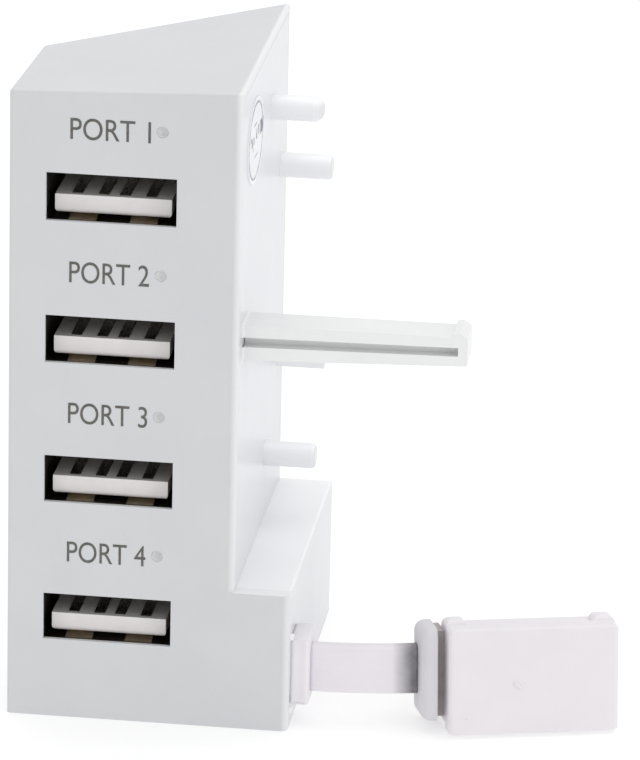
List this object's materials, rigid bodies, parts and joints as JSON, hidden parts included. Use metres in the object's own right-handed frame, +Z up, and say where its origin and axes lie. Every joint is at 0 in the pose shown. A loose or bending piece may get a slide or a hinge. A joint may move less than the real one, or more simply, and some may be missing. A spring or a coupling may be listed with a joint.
{
  "type": "usb hub",
  "caption": "Upright hub with stacked data sockets that clips on to a console's side, with locating pegs, a snap arm and a short lead with a right-angle plug.",
  "frame": {"origin": "centre of the base's outline (without the lead and plug), on the surface that the hub stands on", "axes": "+X towards the console, out of the face with the pegs and the snap arm; +Y to the back, away from the sockets; +Z up"},
  "size_m": [0.0589, 0.0334, 0.0635],
  "materials": {
    "screw_steel": "plated",
    "soft_white": "soft PVC",
    "ceramic_tan": "fired",
    "board": "lacquered",
    "can_metal": "satin",
    "lead_white": "soft PVC",
    "white_shell": "moulded, fine satin",
    "fuse_green": "lacquered",
    "chip_black": "moulded",
    "lamp": "milky",
    "clear_lens": "milky",
    "label_paper": "coated",
    "core_jacket": "soft PVC",
    "contact_metal": "tin plated",
    "plug_plastic": "moulded",
    "plug_metal": "nickel plate",
    "resistor_black": "glazed top",
    "white_cover": "moulded, glossy",
    "white_arm": "moulded, satin",
    "socket_plastic": "moulded",
    "socket_metal": "tin plate, dull"
  },
  "bodies": {
    "hub": {"board_screws": "screw_steel", "cable_gland": "soft_white", "ceramic_capacitors": "ceramic_tan", "circuit_board": "board", "crystal": "can_metal", "flat_lead": "lead_white", "front_housing": "white_shell", "fuse": "fuse_green", "hub_chip": "chip_black", "indicator_lamp_1": "lamp", "indicator_lamp_2": "lamp", "indicator_lamp_3": "lamp", "indicator_lamp_4": "lamp", "indicator_lens_1": "clear_lens", "indicator_lens_2": "clear_lens", "indicator_lens_3": "clear_lens", "indicator_lens_4": "clear_lens", "inspection_label": "label_paper", "lead_cores": "core_jacket", "reservoir_capacitors": "can_metal", "resistors": "resistor_black", "side_cover": "white_cover", "socket_contacts_1": "contact_metal", "socket_contacts_2": "contact_metal", "socket_contacts_3": "contact_metal", "socket_contacts_4": "contact_metal", "socket_insulator_1": "socket_plastic", "socket_insulator_2": "socket_plastic", "socket_insulator_3": "socket_plastic", "socket_insulator_4": "socket_plastic", "socket_shell_1": "socket_metal", "socket_shell_2": "socket_metal", "socket_shell_3": "socket_metal", "socket_shell_4": "socket_metal"},
    "plug": {"plug_collar": "soft_white", "plug_contacts": "contact_metal", "plug_grip": "soft_white", "plug_insulator": "plug_plastic", "plug_shell": "plug_metal"},
    "arm": {"snap_arm": "white_arm"}
  },
  "joints": [
    {"name": "plug_swing", "type": "hinge", "parent": "hub", "child": "plug", "pos_m": [0.02058, -0.01276, 0.00555], "axis": [0, 0, 1], "range_deg": [-75, 40], "stiffness_Nm_per_rad": 0.005, "deforming": ["flat_lead"]},
    {"name": "snap_arm_flex", "type": "hinge", "parent": "hub", "child": "arm", "pos_m": [0.00836, -0.01175, 0.0382], "axis": [0, 1, 0], "range_deg": [-1.5, 1.5], "stiffness_Nm_per_rad": 0.05}
  ]
}
